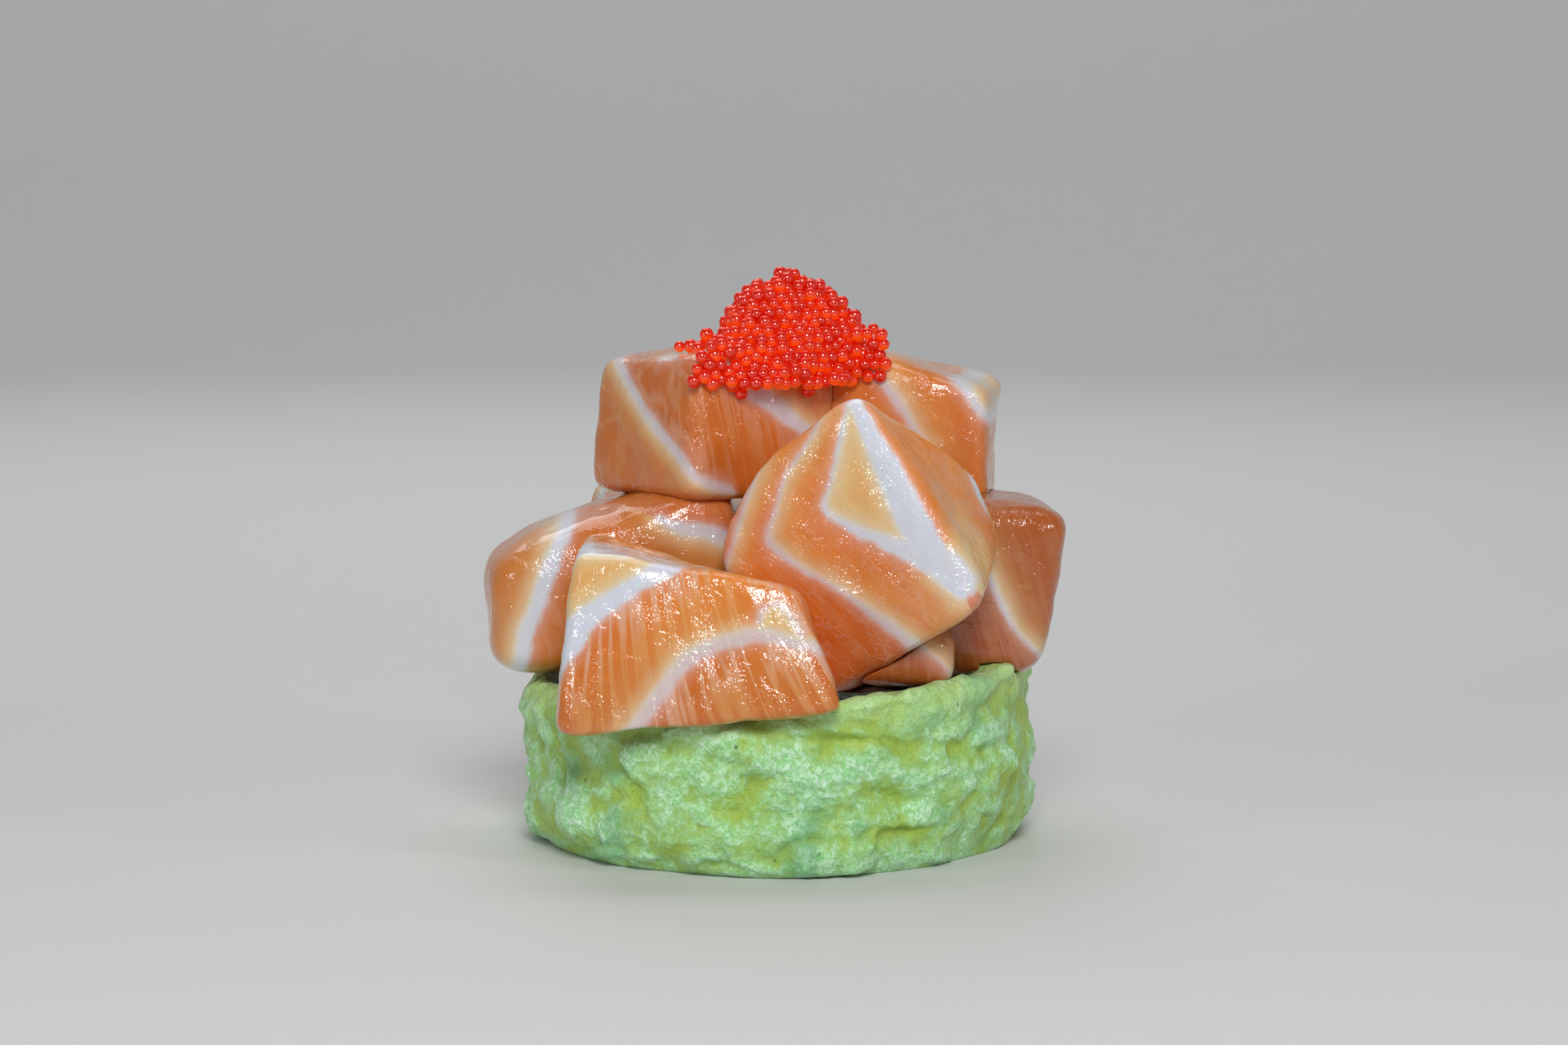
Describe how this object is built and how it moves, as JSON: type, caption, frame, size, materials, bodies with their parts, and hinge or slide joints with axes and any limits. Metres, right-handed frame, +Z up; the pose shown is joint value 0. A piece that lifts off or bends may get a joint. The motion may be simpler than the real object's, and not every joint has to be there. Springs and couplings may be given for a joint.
{
  "type": "salmon tempura futomaki",
  "caption": "Slice of a battered, fried rice and seaweed roll standing on its cut face, heaped with blocks of raw salmon and topped with a cone of red fish roe.",
  "frame": {"origin": "under the middle of the object, on the surface that it stands on", "axes": "+Z up; the pictured front faces -Y; +X to the right, along the widest side"},
  "size_m": [0.0625, 0.0599, 0.061],
  "materials": {
    "batter": "moist, lumpy green batter",
    "seaweed": "dark, thin and slightly wrinkled",
    "rice": "moist cooked grains",
    "salmon": "wet raw flesh with pale fat stripes",
    "roe": "wet, translucent red eggs"
  },
  "bodies": {
    "root": {"batter": "batter", "seaweed": "seaweed", "rice": "rice", "salmon_front_left": "salmon", "salmon_front_right": "salmon", "salmon_right": "salmon", "salmon_left": "salmon", "salmon_top_left": "salmon", "salmon_top_right": "salmon", "salmon_under_right": "salmon", "salmon_back_left": "salmon", "salmon_back_right": "salmon", "roe": "roe"}
  },
  "joints": []
}
